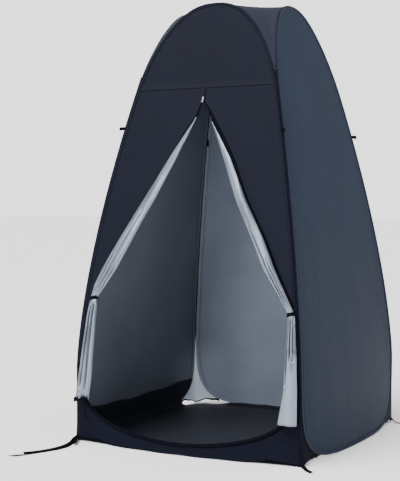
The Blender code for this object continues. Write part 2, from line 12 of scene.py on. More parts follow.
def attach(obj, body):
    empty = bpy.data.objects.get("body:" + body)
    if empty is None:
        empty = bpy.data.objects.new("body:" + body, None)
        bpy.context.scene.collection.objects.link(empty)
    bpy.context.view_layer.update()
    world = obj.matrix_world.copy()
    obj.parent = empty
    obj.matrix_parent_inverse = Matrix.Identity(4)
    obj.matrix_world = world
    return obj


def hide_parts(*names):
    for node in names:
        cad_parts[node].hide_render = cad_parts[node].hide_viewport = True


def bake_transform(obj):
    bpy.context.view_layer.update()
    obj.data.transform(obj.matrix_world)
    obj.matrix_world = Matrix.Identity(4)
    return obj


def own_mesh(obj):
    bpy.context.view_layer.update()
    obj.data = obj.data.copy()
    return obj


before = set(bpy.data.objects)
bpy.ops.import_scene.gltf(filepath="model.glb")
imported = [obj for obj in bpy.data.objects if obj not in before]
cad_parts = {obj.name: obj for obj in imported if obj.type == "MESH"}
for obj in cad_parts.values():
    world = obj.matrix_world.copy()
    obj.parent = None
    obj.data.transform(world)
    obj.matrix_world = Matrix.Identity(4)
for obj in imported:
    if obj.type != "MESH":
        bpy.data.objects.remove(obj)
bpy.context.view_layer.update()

# Walls
BASE_HALF = 0.60
HEIGHT = 2.14
LEAN_START = 0.35
LEAN = 0.134
LEAN_POWER = 1.5
BULGE_HEIGHT = 1.0
CLOTH = 0.0006

# Hoops
HOOP_INSET = 0.010
ARCH_START = 1.66
ARCH_POWER = 2.5
SWEEP_START = 0.75
SWEEP_POWER = 8.0
ARCH_GAP = 0.0045
BINDING_R = 0.0048
LIP = 0.0125
CLEAR = 0.0040
TUCK = 0.0040

# Each wall: turn about +Z, height of the hoop's lowest point, squareness of its bottom, bow at the ground
WALLS = {
    "front": (0.0, 0.045, 1.7, 0.070),
    "right": (90.0, 0.0055, 5.0, 0.045),
    "rear": (180.0, 0.0055, 5.0, 0.045),
    "left": (270.0, 0.0055, 5.0, 0.045),
}

# Door
SEAM_Z = 1.725
SIDE_SEAM_Z = 1.530
DOOR_TOP = 1.655
ROLL_GAP = 0.0050
SHRINK = 0.17             # how much smaller each turn of a roll is
MOST_TURNS = 3.6
CUFF_Z = 0.462            # where the right tail's folds end
FRONT_HEM_TOP = 0.40      # the front binding is plain black tape below this

# Skirt, gussets, floor and roof
GROUND = 0.0008
GUSSET_START = 0.45
# Where the cloth's edge along a hoop leaves the ground, as (u, z), and how a corner's foot is pulled aside
GUSSET_FEET = {"front": ((0.43, 0.0008), (0.54, 0.12))}
FLARES = {"front_right": (0.022, -0.012, 0.0), "front_left": (-0.004, -0.004, 0.0)}
GUSSET_TOP = 1.79
GUSSET_PLAIN_ROWS = 24    # of the 90 rows, those in the wide triangle at the foot
FLOOR_RIGHT = 0.588       # the floor's right edge, and its width on the ground
FLOOR_WIDTH = 1.18
FLOOR_INSET = 0.018
FLOOR_TURN_UP = 0.14
ROOF_SAG = 0.022
GORE_START = 1.80
GORE_EDGE = 0.0035
GORE_DIAMOND = 0.22
GUY_Z = 1.516
HANGING_LOOP = Vector((-0.4153, 0.4153, 1.4960))
PEG_R = 0.0021
PEG_PLACE = Vector((-0.6212, -1.0046, PEG_R + 0.0006))
PEG_RUN = Vector((-0.62, -0.785, 0.0)).normalized()
STRAP_Z = 0.0029          # the straps' middle line on the ground

# Camera and light
LENS_MM, SENSOR_MM = 86.9, 36.0
CAMERA_PLACE = (2.678, -5.292, 1.190)
CAMERA_TILT, CAMERA_TURN = 87.92, 28.85
SUN, SUN_WIDTH = 5.4, 50.0
SUN_FROM = (-0.20, -0.55, 1.0)
# Each soft light: its place, what it is aimed at, its size, its watts, and its beam's angle if it is a spot
LIGHTS = {
    "front": ((-0.5, -6.5, 1.9), (0.0, 0.0, 1.2), 2.0, 170.0, None),
    "inside": ((0.12, -0.18, 1.25), (-0.35, 0.50, 0.35), 0.5, 0.65, None),
    "corner": ((0.25, -0.45, 0.75), (-0.56, 0.56, 0.16), 0.15, 17.0, 17),
    "side": ((6.0, 0.4, 3.4), (0.45, 0.0, 2.0), 1.5, 620.0, 32),
}
AMBIENT = 0.75            # the surround's light, and how bright it is seen behind the object
BACKDROP = 2.2

# Colours
NAVY = (0.0034, 0.0045, 0.0110)
NAVY_SKIRT = (0.0042, 0.0048, 0.0105)
SLATE = (0.0118, 0.0190, 0.0370)
ROOF = (0.0190, 0.0210, 0.0340)
# The lining is lighter than the outside cloth: partly its own colour, partly painted light shining through
# the walls.
LINING = (0.1300, 0.1480, 0.1900)
# The rear wall's inside is painted paler still: painted light shining through it from behind.
BACKLIT_LINING = (0.2300, 0.2700, 0.3450)
# The inside of the rear left corner's lower triangle is painted nearly white: painted light shining through
# its cloth.
GUSSET_BACKLIT = (0.78, 0.86, 0.96)
SILVER = (0.195, 0.225, 0.275)
BLACK = (0.0017, 0.0021, 0.0040)


def show(name, data):
    """A new object in the scene."""
    made = bpy.data.objects.new(name, data)
    bpy.context.scene.collection.objects.link(made)
    return made


# Camera -----------------------------------------------------------------------

def make_camera():
    lens = bpy.data.cameras.new("camera")
    lens.lens, lens.sensor_width = LENS_MM, SENSOR_MM
    camera = show("camera", lens)
    camera.location = CAMERA_PLACE
    camera.rotation_euler = (radians(CAMERA_TILT), 0.0, radians(CAMERA_TURN))
    bpy.context.scene.camera = camera


# Materials --------------------------------------------------------------------

def node(tree, kind, *wires, **settings):
    """Adds a node. Each wire is (input name or number, value or output socket)."""
    made = tree.nodes.new(kind)
    for key, value in settings.items():
        setattr(made, key, value)
    for where, value in wires:
        if isinstance(value, bpy.types.NodeSocket):
            tree.links.new(value, made.inputs[where])
        else:
            made.inputs[where].default_value = value
    return made


def scaled(tree, vector, scale):
    return node(tree, "ShaderNodeVectorMath", (0, vector), (1, scale), operation="MULTIPLY").outputs[0]


def grain(tree, vector, scale, detail=2.0, roughness=0.5, distortion=0.0):
    """Noise from 0 to 1."""
    made = node(tree, "ShaderNodeTexNoise", ("Vector", vector), ("Scale", scale), ("Detail", detail),
                ("Roughness", roughness), ("Distortion", distortion))
    return made.outputs["Fac"]


def ranged(tree, value, low, high, start=0.0, end=1.0):
    """The value's span from start to end, mapped to low to high."""
    made = node(tree, "ShaderNodeMapRange", ("Value", value), ("From Min", start), ("From Max", end),
                ("To Min", low), ("To Max", high))
    return made.outputs["Result"]


def combine(tree, operation, a, b):
    return node(tree, "ShaderNodeMath", (0, a), (1, b), operation=operation).outputs[0]


def plus(tree, a, b):
    return combine(tree, "ADD", a, b)


def minus(tree, a, b):
    return combine(tree, "SUBTRACT", a, b)


def times(tree, a, b):
    return combine(tree, "MULTIPLY", a, b)


def unsigned(tree, value):
    return combine(tree, "ABSOLUTE", value, 0.0)


def shade(tree, colour, factor):
    """The colour times a varying factor."""
    return node(tree, "ShaderNodeVectorMath", (0, colour), ("Scale", factor), operation="SCALE").outputs[0]


def bump(tree, strength, depth, height, under=None):
    """The surface's normal after relief of a depth in metres, over another's if one is given."""
    wires = [("Strength", strength), ("Distance", depth), ("Height", height)]
    if under:
        wires.append(("Normal", under))
    return node(tree, "ShaderNodeBump", *wires).outputs["Normal"]


def blank(name, colour, sheen=0.0, metallic=0.0, specular=0.5):
    """A material with its Principled shader, and the thread coordinates its cloth carries."""
    paint = bpy.data.materials.new(name)
    paint.use_nodes = True
    paint.diffuse_color = (*colour, 1.0)
    tree = paint.node_tree
    shader = tree.nodes["Principled BSDF"]
    shader.inputs["Base Color"].default_value = (*colour, 1.0)
    shader.inputs["Metallic"].default_value = metallic
    shader.inputs["Specular IOR Level"].default_value = specular
    shader.inputs["Sheen Weight"].default_value = sheen
    shader.inputs["Sheen Roughness"].default_value = 0.45
    thread = node(tree, "ShaderNodeAttribute", attribute_name="thread").outputs["Vector"]
    return paint, tree, shader, thread


def feed(shader, name, value):
    shader.id_data.links.new(value, shader.inputs[name])


def cloth_paint(name, colour, roughness=(0.5, 0.7), sheen=0.04, crinkle=0.30, specular=0.10, seam=None):
    """Woven taffeta: yarns both ways, a soft crinkle, and shade and gloss that vary over the cloth.

    seam is the height of a felled seam across the cloth; its two edges are painted darker, as painted shade
    beside its raised fold.
    """
    paint, tree, shader, thread = blank(name, colour, sheen, specular=specular)
    broad = grain(tree, thread, 3.0, 3.0)
    fine = grain(tree, thread, 90.0, 4.0, 0.6)
    weft = grain(tree, scaled(tree, thread, (110.0, 1500.0, 1.0)), 1.0, 1.0)
    warp = grain(tree, scaled(tree, thread, (1500.0, 110.0, 1.0)), 1.0, 1.0)
    yarns = plus(tree, weft, warp)
    tone = plus(tree, ranged(tree, broad, 0.90, 1.10, 0.3, 0.7), ranged(tree, yarns, -0.10, 0.10, 0.7, 1.3))
    height = yarns
    if seam:
        level = node(tree, "ShaderNodeSeparateXYZ", ("Vector", thread)).outputs[1]
        away = unsigned(tree, minus(tree, level, seam))
        felled = combine(tree, "LESS_THAN", away, 0.0045)
        edge = minus(tree, combine(tree, "LESS_THAN", away, 0.0062), felled)
        # Painted shade: a thin darker line along each edge of the seam.
        tone = minus(tree, tone, times(tree, edge, 0.35))
        height = plus(tree, yarns, times(tree, felled, 2.5))
    feed(shader, "Base Color", shade(tree, colour, tone))
    feed(shader, "Roughness", ranged(tree, plus(tree, broad, fine), *roughness, 0.6, 1.4))
    soft = grain(tree, thread, 22.0, 7.0, 0.55, 0.8)
    feed(shader, "Normal", bump(tree, 0.25, 0.0004, height, bump(tree, crinkle, 0.004, soft)))
    return paint


def silver_paint(name, colour):
    """Silver-coated lining, satin, with fine creases running down the roll, painted shade along each crease
    line and painted highlight and shade in streaks down the roll.
    """
    paint, tree, shader, thread = blank(name, colour, 0.02, 0.60, 0.45)
    creases = grain(tree, scaled(tree, thread, (38.0, 1.1, 1.0)), 1.0, 2.0, 0.5)
    fine = grain(tree, scaled(tree, thread, (170.0, 3.5, 1.0)), 1.0, 2.0)
    place = node(tree, "ShaderNodeSeparateXYZ", ("Vector", thread))
    other = combine(tree, "LESS_THAN", place.outputs[2], 0.0)
    loose = combine(tree, "MAXIMUM", ranged(tree, place.outputs[1], 0.25, 1.0, CUFF_Z - 0.06, CUFF_Z), other)
    broad = grain(tree, scaled(tree, thread, (16.0, 5.0, 1.0)), 1.0, 3.0, 0.5)
    # Painted shade: the colour darkens along each crease line.
    crease_shade = ranged(tree, unsigned(tree, minus(tree, creases, 0.5)), 0.55, 1.0, 0.0, 0.035)
    # Painted highlight and shade: lighter and darker streaks down the roll.
    tone = times(tree, crease_shade, ranged(tree, plus(tree, broad, fine), 0.72, 1.22, 0.75, 1.25))
    tone = plus(tree, times(tree, tone, loose), ranged(tree, loose, 1.22, 0.0))
    feed(shader, "Base Color", shade(tree, colour, tone))
    feed(shader, "Roughness", ranged(tree, broad, 0.26, 0.44, 0.3, 0.7))
    low = bump(tree, 0.7, 0.008, times(tree, creases, loose))
    feed(shader, "Normal", bump(tree, 0.35, 0.0015, times(tree, fine, loose), low))
    return paint


def tape_paint(name, colour, rib=0.0016, roughness=0.82):
    """Ribbed woven tape, its ribs across the tape, with a row of stitches near each edge."""
    paint, tree, shader, thread = blank(name, colour, 0.0, specular=0.05)
    parts = node(tree, "ShaderNodeSeparateXYZ", ("Vector", thread))
    along, across = parts.outputs[0], parts.outputs[1]
    rib_wave = combine(tree, "SINE", times(tree, along, tau / rib), 0.0)
    off_line = unsigned(tree, minus(tree, unsigned(tree, across), 0.0062))
    on_line = combine(tree, "LESS_THAN", off_line, 0.00035)
    stitch_wave = combine(tree, "SINE", times(tree, along, tau / 0.0042), 0.0)
    dash = combine(tree, "GREATER_THAN", stitch_wave, -0.4)
    stitch = times(tree, on_line, dash)
    worn = grain(tree, thread, 40.0, 4.0, 0.65)
    tone = plus(tree, ranged(tree, worn, 0.75, 1.35, 0.3, 0.7), times(tree, stitch, 0.9))
    feed(shader, "Base Color", shade(tree, colour, tone))
    gloss = ranged(tree, worn, roughness - 0.12, roughness + 0.08, 0.3, 0.7)
    feed(shader, "Roughness", gloss)
    height = plus(tree, times(tree, rib_wave, 0.25), times(tree, stitch, 1.5))
    feed(shader, "Normal", bump(tree, 0.5, 0.0005, height))
    return paint


def metal_paint(name, colour, roughness):
    """Bright metal with fine drawn lines and small scuffs."""
    paint, tree, shader, _ = blank(name, colour, metallic=1.0)
    place = node(tree, "ShaderNodeTexCoord").outputs["Object"]
    lines = grain(tree, scaled(tree, place, (900.0, 900.0, 60.0)), 1.0, 2.0)
    scuffs = grain(tree, place, 260.0, 5.0, 0.7)
    gloss = ranged(tree, scuffs, roughness * 0.7, roughness * 1.7, 0.35, 0.7)
    feed(shader, "Roughness", gloss)
    tone = ranged(tree, scuffs, 0.85, 1.05, 0.3, 0.7)
    feed(shader, "Base Color", shade(tree, colour, tone))
    feed(shader, "Normal", bump(tree, 0.15, 0.0002, lines))
    return paint


def plain_floor_paint():
    paint = bpy.data.materials.new("studio_floor")
    paint.use_nodes = True
    shader = paint.node_tree.nodes["Principled BSDF"]
    shader.inputs["Base Color"].default_value = (0.92, 0.92, 0.92, 1.0)
    shader.inputs["Roughness"].default_value = 0.95
    return paint


PAINT = {
    "navy": cloth_paint("navy_taffeta", NAVY, (0.50, 0.66), 0.03, specular=0.08),
    "slate": cloth_paint("slate_taffeta", SLATE, (0.46, 0.62), 0.02, crinkle=0.34, specular=0.06,
                         seam=SIDE_SEAM_Z),
    "slate_edge": cloth_paint("slate_edge", (0.0050, 0.0070, 0.0130), (0.46, 0.62), 0.02, specular=0.08),
    "roof": cloth_paint("roof_taffeta", ROOF, (0.42, 0.58), 0.0, crinkle=0.34, specular=0.05),
    "skirt": cloth_paint("navy_skirt", NAVY_SKIRT, (0.50, 0.66), 0.0, specular=0.03),
    # The plain lining's colour is partly painted light shining through the cloth.
    "lining": cloth_paint("slate_lining", LINING, (0.50, 0.68), crinkle=0.34, seam=SIDE_SEAM_Z),
    # Painted light: the rear wall lit through from behind.
    "backlit_lining": cloth_paint("backlit_lining", BACKLIT_LINING, (0.50, 0.68), crinkle=0.34, seam=SIDE_SEAM_Z),
    # Painted light: the rear left corner lit through its cloth.
    "backlit_gusset": cloth_paint("backlit_gusset", GUSSET_BACKLIT, (0.50, 0.68)),
    "silver": silver_paint("silver_coating", SILVER),
    "floor": cloth_paint("floor_oxford", (0.0100, 0.0120, 0.0200), (0.42, 0.60), 0.03, crinkle=0.5),
    "tape": tape_paint("black_tape", BLACK),
    "hem": cloth_paint("hem_tape", (0.0015, 0.0019, 0.0040), (0.6, 0.75), 0.0, specular=0.03),
    "steel": metal_paint("spring_wire", (0.62, 0.63, 0.64), 0.24),
    "peg": metal_paint("peg_wire", (0.045, 0.045, 0.050), 0.30),
    "nickel": metal_paint("zip_nickel", (0.80, 0.80, 0.79), 0.16),
}


# Wall surface -----------------------------------------------------------------

def lean(z):
    """Distance from the tent's axis to a wall's corner edges at height z."""
    return BASE_HALF - LEAN * max(0.0, z - LEAN_START) ** LEAN_POWER


def wall_distance(wall, u, z):
    """Distance from the axis to the wall at offset u from its middle."""
    bow = WALLS[wall][3] * max(0.0, 1.0 - z / BULGE_HEIGHT) ** 2
    return lean(z) + bow * (1.0 - (u / lean(z)) ** 2)


def wall_normal(wall, u, z):
    """Outward normal of the wall, in the wall's own frame."""
    step = 0.001
    across = (wall_distance(wall, u + step, z) - wall_distance(wall, u - step, z)) / (2 * step)
    up = (wall_distance(wall, u, z + step) - wall_distance(wall, u, z - step)) / (2 * step)
    return Vector((-across, -1.0, -up)).normalized()


def turn(wall):
    return Matrix.Rotation(radians(WALLS[wall][0]), 3, "Z")


def on_wall(wall, u, z, out=0.0):
    """A point on the wall, moved out of it by a distance."""
    point = Vector((u, -wall_distance(wall, u, z), z)) + wall_normal(wall, u, z) * out
    return turn(wall) @ point


def smooth_step(value):
    value = min(1.0, max(0.0, value))
    return value * value * (3 - 2 * value)


def ripple(x, y, z):
    """Smooth noise about 0, the same at the same place each time."""
    return noise.noise(Vector((x, y, z)))


def rumple(wall, u, z, edge, along):
    """How far the taut cloth stands off the plain wall: broad and small waves, and puckers along its hem."""
    seed = WALLS[wall][0] * 0.37
    broad = ripple(u * 2.1 + seed, z * 1.3, seed) * 0.0045
    small = ripple(u * 7.0 + seed, z * 4.0, seed + 3.0) * 0.0012
    wander = ripple(along * 3.0, seed, 1.0) * 5.0
    size = 0.6 + 0.8 * ripple(along * 2.0, seed, 7.0)
    pucker = 0.0016 * size * sin(tau * along / 0.055 + wander) * exp(-edge / 0.035)
    return (broad + small) * smooth_step(edge / 0.09) + pucker * smooth_step(edge / 0.012)


# Outlines ---------------------------------------------------------------------

def evenly(points, count):
    """The same path with count equal steps."""
    lengths = [0.0]
    for a, b in zip(points, points[1:]):
        lengths.append(lengths[-1] + (b - a).length)
    out = []
    at = 0
    for i in range(count + 1):
        want = lengths[-1] * i / count
        while at < len(points) - 2 and lengths[at + 1] < want:
            at += 1
        span = max(1e-12, lengths[at + 1] - lengths[at])
        share = min(1.0, max(0.0, (want - lengths[at]) / span))
        out.append(points[at].lerp(points[at + 1], share))
    return out


def hoop_outline(wall, grow=0.0, count=100):
    """Half of the hoop's outline as (u, z), from its lowest point to the arch top, moved outward by grow."""
    _, sill, squareness, _ = WALLS[wall]
    steps = 200
    path = []
    for i in range(steps + 1):
        angle = pi / 2 * i / steps
        z = SWEEP_START - (SWEEP_START - sill) * cos(angle) ** (2 / SWEEP_POWER)
        path.append(Vector(((lean(z) - HOOP_INSET) * sin(angle) ** (2 / squareness), z)))
    for i in range(1, steps):
        z = SWEEP_START + (ARCH_START - SWEEP_START) * i / steps
        path.append(Vector((lean(z) - HOOP_INSET, z)))
    for i in range(steps + 1):
        angle = pi / 2 * i / steps
        z = ARCH_START + (HEIGHT - ARCH_GAP - ARCH_START) * sin(angle) ** (2 / ARCH_POWER)
        path.append(Vector(((lean(z) - HOOP_INSET) * max(0.0, cos(angle)) ** (2 / ARCH_POWER), z)))
    path = evenly(path, count)
    grown = []
    for i, point in enumerate(path):
        along = path[min(i + 1, count)] - path[max(i - 1, 0)]
        along.normalize()
        grown.append(point + Vector((along.y, -along.x)) * grow)
    grown[0].x = 0.0
    grown[-1].x = 0.0
    return grown


def outline_u(outline, z):
    """Half-width of an outline at height z, on its outer side."""
    for a, b in zip(outline, outline[1:]):
        if a.y <= z <= b.y:
            return a.x + (b.x - a.x) * (z - a.y) / max(1e-9, b.y - a.y)
    return outline[0].x if z < outline[0].y else outline[-1].x


def outline_z(outline, u):
    """Height of an outline's bottom sweep at offset u."""
    for a, b in zip(outline, outline[1:]):
        if a.x <= u <= b.x:
            return a.y + (b.y - a.y) * (u - a.x) / max(1e-9, b.x - a.x)
    return outline[0].y


# Shape makers -----------------------------------------------------------------

def piece(name, points, faces, paints, threads, slots=None):
    """A smooth mesh object. threads holds each point's place in the cloth; slots picks each face's paint."""
    mesh = bpy.data.meshes.new(name)
    mesh.from_pydata(points, [], faces)
    mesh.shade_smooth()
    for paint in paints:
        mesh.materials.append(PAINT[paint])
    if slots:
        mesh.polygons.foreach_set("material_index", slots)
    attribute = mesh.attributes.new("thread", "FLOAT_VECTOR", "POINT")
    attribute.data.foreach_set("vector", [x for place in threads for x in (*place, 0.0)[:3]])
    return show(name, mesh)


def grid_faces(rows, columns, wrap_rows=False, wrap_columns=False):
    """Faces of a grid of points; with rows going up and columns to the right, they face the viewer."""
    faces = []
    for r in range(rows if wrap_rows else rows - 1):
        for c in range(columns if wrap_columns else columns - 1):
            up, over = (r + 1) % rows, (c + 1) % columns
            faces.append((r * columns + c, r * columns + over, up * columns + over, up * columns + c))
    return faces


def sheet(name, rows, paints, threads, tip=None, thickness=CLOTH, slots=None):
    """A sheet of cloth from rows of points and a tip, its first paint outside and its second inside."""
    columns = len(rows[0])
    points = [p for row in rows for p in row]
    faces = grid_faces(len(rows), columns)
    if tip:
        last = (len(rows) - 1) * columns
        faces += [(last + c, last + c + 1, len(points)) for c in range(columns - 1)]
        threads.append((0.0, threads[-1][1] + (tip - rows[-1][columns // 2]).length))
        points.append(tip)
    made = piece(name, points, faces, paints, threads, slots)
    skin = made.modifiers.new("thickness", "SOLIDIFY")
    skin.thickness = thickness
    skin.offset = -1.0
    skin.material_offset = 1
    skin.material_offset_rim = 0
    return made


def add_row(rows, threads, row, line, turned):
    """Adds a row of points and their thread places, turned round if it was built from the other side."""
    rows.append(row[::-1] if turned else row)
    threads += line[::-1] if turned else line


def tube(name, rings, paints, threads, closed=False, slots=None):
    """A closed skin over rings of points, capped at both ends unless the rings run round a loop."""
    count = len(rings[0])
    points = [p for ring in rings for p in ring]
    faces = grid_faces(len(rings), count, closed, True)
    if not closed:
        faces.append(tuple(reversed(range(count))))
        faces.append(tuple(range((len(rings) - 1) * count, len(rings) * count)))
    return piece(name, points, faces, paints, threads, slots)


# Walls ------------------------------------------------------------------------

def make_wall(wall):
    """A whole wall's cloth, filled to the hoop."""
    outline = hoop_outline(wall, -TUCK)
    columns = 44
    step = (outline[1] - outline[0]).length
    rows, threads = [], []
    for i, point in enumerate(outline[1:-1]):
        row = []
        for c in range(columns + 1):
            share = 2 * c / columns - 1
            u, z = point.x * share, point.y
            edge = (1 - abs(share)) * point.x
            row.append(on_wall(wall, u, z, rumple(wall, u, z, edge, copysign((i + 1) * step, share))))
            threads.append((u, z, WALLS[wall][0]))
        rows.append(row)
    top = on_wall(wall, 0.0, outline[-1].y)
    # The rear wall's inside takes the backlit paint: painted light shining through the wall.
    made = sheet(wall + "_wall", rows, ("slate", "backlit_lining" if wall == "rear" else "lining"), threads, top)
    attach(made, wall)
    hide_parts(wall + "_panel")


def hoop_frames(wall, count=110):
    """Centre, outward radial direction and wall normal at each step round the closed hoop."""
    half = hoop_outline(wall, 0.0, count)
    loop = [(p.x, p.y) for p in half] + [(-p.x, p.y) for p in reversed(half[1:-1])]
    centres = [on_wall(wall, u, z) for u, z in loop]
    frames = []
    for i, (u, z) in enumerate(loop):
        along = (centres[(i + 1) % len(centres)] - centres[i - 1]).normalized()
        normal = turn(wall) @ wall_normal(wall, u, z)
        radial = along.cross(normal).normalized()
        normal = radial.cross(along).normalized()
        frames.append((centres[i], radial, normal))
    return frames


def make_binding(wall):
    """The black tape folded round the hoop, its two lips sewn over the wall's edge."""
    frames = hoop_frames(wall)
    section = [(-LIP, 0.0013), (-LIP * 0.55, 0.0019)]
    around = 9
    for i in range(around):
        angle = radians(140 - 280 * i / (around - 1))
        section.append((BINDING_R * cos(angle), BINDING_R * sin(angle)))
    section += [(-LIP * 0.55, -0.0019), (-LIP, -0.0013)]
    rings, threads = [], []
    along = 0.0
    for i, (centre, radial, normal) in enumerate(frames):
        if i:
            along += (centre - frames[i - 1][0]).length
        swell = 1.0 + 0.05 * ripple(along * 30.0, WALLS[wall][0], 0.0)
        rings.append([centre + radial * a * (swell if a > 0 else 1.0) + normal * b * swell
                      for a, b in section])
        threads += [(along, LIP * 0.5 + a, 0.0) for a, b in section]
    count = len(section)
    turned = 9 if wall == "right" else 7
    slots = [2 if c < 4 or c == count - 1 else 0 if c < turned else 1 for _ in rings for c in range(count)]
    # The side bindings' inner half takes the lining's paint, not the tape's dark: a painted light line along
    # the hoop's inside edge.
    inside = "backlit_lining" if wall == "rear" else "lining"
    paints = ("slate_edge", inside, "slate")
    if wall == "front":
        paints = ("skirt", "skirt", "navy", "hem")
        slots = [3 if frames[k // count][0].z < FRONT_HEM_TOP else slot for k, slot in enumerate(slots)]
    made = tube(wall + "_binding", rings, paints, threads, True, slots)
    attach(made, wall)
    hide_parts(wall + "_sleeve")


# Door -------------------------------------------------------------------------

FRONT_EDGE = hoop_outline("front", -TUCK)

# The roll down each side of the opening: height, then its inner and outer edge from the middle
EDGES = {
    "left": ((1.655, 0.000, 0.001), (1.580, 0.018, 0.021), (1.469, 0.067, 0.094), (1.374, 0.107, 0.152),
             (1.182, 0.201, 0.265), (0.988, 0.304, 0.384), (0.842, 0.380, 0.470), (0.768, 0.430, 0.506),
             (0.703, 0.484, 0.523), (0.645, 0.475, 0.531), (0.485, 0.478, 0.549), (0.353, 0.479, 0.567),
             (0.224, 0.498, 0.583)),
    "right": ((1.655, 0.000, 0.001), (1.620, 0.030, 0.031), (1.550, 0.064, 0.068), (1.464, 0.105, 0.128),
              (1.369, 0.150, 0.191), (1.182, 0.233, 0.288), (1.001, 0.332, 0.398), (0.867, 0.401, 0.463),
              (0.736, 0.493, 0.535), (0.672, 0.536, 0.570), (0.606, 0.539, 0.578), (0.487, 0.536, 0.590),
              (0.341, 0.530, 0.596), (0.184, 0.501, 0.597)),
}
TIES = {"left": 0.703, "right": 0.672}
ROLL_TOPS = {"left": 1.575, "right": 1.550}
TAILS = {"left": 0.224, "right": 0.184}

# The folds' valleys in each roll: place across at its top and bottom end, depth, width, top and bottom height
FOLDS = {
    "left": ((0.45, 0.40, 0.75, 0.060, 1.16, 0.71), (0.72, 0.62, 0.60, 0.055, 0.95, 0.70),
             (0.20, 0.22, 0.60, 0.050, 0.86, 0.70), (0.36, 0.30, 1.15, 0.065, 0.69, 0.23),
             (0.66, 0.64, 1.15, 0.065, 0.68, 0.26), (0.86, 0.84, 0.70, 0.050, 0.60, 0.22)),
    "right": ((0.30, 0.42, 1.00, 0.050, 1.12, 0.68), (0.66, 0.66, 0.55, 0.050, 0.92, 0.68),
              (0.84, 0.82, 0.45, 0.045, 0.80, 0.68), (0.20, 0.12, 1.10, 0.060, 0.665, 0.34),
              (0.48, 0.46, 1.20, 0.065, 0.665, 0.46), (0.76, 0.78, 1.10, 0.060, 0.665, 0.46)),
}


def roll_edges(z, side):
    """Inner and outer edge of the roll at height z."""
    table = EDGES[side]
    for (high, a, b), (low, c, d) in zip(table, table[1:]):
        if z >= low:
            share = min(1.0, max(0.0, (high - z) / (high - low)))
            return a + (c - a) * share, b + (d - b) * share
    return table[-1][1], table[-1][2]


def roll_size(z, side):
    """Centre offset, half-width and half-depth of the rolled flap, pinched at the tie and flaring below."""
    near = [roll_edges(z + 0.012 * k, side) for k in (-1, 0, 1)]
    inner, outer = sum(e[0] for e in near) / 3, sum(e[1] for e in near) / 3
    tie = TIES[side]
    if z >= tie:
        depth = 0.003 + 0.013 * smooth_step((ROLL_TOPS[side] - z) / 0.55)
        depth -= 0.004 * exp(-((z - tie) / 0.05) ** 2)
    else:
        depth = 0.012 + 0.006 * smooth_step((tie - z) / 0.10)
    return (inner + outer) / 2, (outer - inner) / 2, depth


def roll_point(z, side, turns):
    """A point of the roll's spiral, as (u, out), after a number of turns from where it leaves the wall."""
    centre, half, depth = roll_size(z, side)
    angle = -pi / 2 - tau * turns
    shrink = 1.0 - SHRINK * turns
    across, out = cos(angle) * shrink, sin(angle) * shrink
    if out > 0:
        out *= 1.0 - 0.95 * smooth_step((turns - 0.72) / 0.28)
    if out > -0.2 and turns < 1.0:
        place = 0.5 + 0.5 * across
        front = smooth_step((out + 0.2) / 0.4)
        sway = 0.025 * sin(z * 11.0 + len(side))
        for first, last, deep, width, top, bottom in FOLDS[side]:
            grown = smooth_step((top - z) / 0.16) if top - bottom > 0.3 and top > TIES[side] else 1.0
            grown *= smooth_step((top - z) / 0.03) * smooth_step((z - bottom) / 0.05 + 0.15 * (bottom < 0.3))
            where = first + (last - first) * min(1.0, max(0.0, (top - z) / (top - bottom))) + sway
            out -= deep * grown * front * exp(-((place - where) / width) ** 2)
        if side == "right":
            cuff = CUFF_Z + 0.045 * (2 * place - 1.25) ** 2
            out += 0.20 * front * smooth_step((cuff - z) / 0.006) * smooth_step((z - 0.36) / 0.12)
    wave = 0.05 * ripple(turns * 3.0, z * 6.0, len(side))
    return centre + half * (across + wave), ROLL_GAP + depth * (1.0 + out + wave)


def roll_turns(z, side):
    """How many turns the rolled cloth makes at height z, from the width of cloth there."""
    centre, half, depth = roll_size(z, side)
    round_it = tau * sqrt((half * half + depth * depth) / 2)
    loose = 1.0 - 2 * SHRINK * centre / round_it
    return min(MOST_TURNS, (1.0 - sqrt(max(0.0, loose))) / SHRINK)


def roll_heights(side):
    """Heights of the roll's rows from the bottom up, closer together at the tie and the tail's cuff."""
    heights = []
    z = TAILS[side]
    while z < ROLL_TOPS[side]:
        heights.append(z)
        z += 0.0035 + 0.014 * min(1.0, abs(z - TIES[side]) / 0.14, abs(z - CUFF_Z) / 0.08)
    return heights + [ROLL_TOPS[side]]


def make_roll(side, sign):
    """The door flap rolled back on itself, its silver lining outside, tied at the pinch and loose below."""
    rows, threads = [], []
    columns = 120
    tie, bottom = TIES[side], TAILS[side]
    frill = 0.009 if side == "left" else 0.0010
    for z in roll_heights(side):
        row, line = [], []
        turns = roll_turns(z, side)
        first = min(1.0, turns)
        run = 0.0
        for c in range(columns + 1):
            share = c / columns
            turned = first * min(1.0, share / 0.62) + max(0.0, share - 0.62) / 0.38 * (turns - first)
            u, out = roll_point(z, side, turned)
            fall = z
            if z < tie:
                loose = 1.0 - (z - bottom) / (tie - bottom)
                fall = z + frill * loose ** 4 * (sin(turned * 19.0) + 0.6 * sin(turned * 43.0 + 1.0))
            row.append(on_wall("front", sign * u, fall, out + (0.004 if z < tie else 0.0) * (tie - z) / 0.4))
            if c:
                run += (row[-1] - row[-2]).length
            line.append((run, z, 2.0 * sign))
        add_row(rows, threads, row, line, sign > 0)
    made = sheet("door_roll_" + side, rows, ("navy", "silver"), threads)
    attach(made, "front")
    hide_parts("door_gather_" + side)


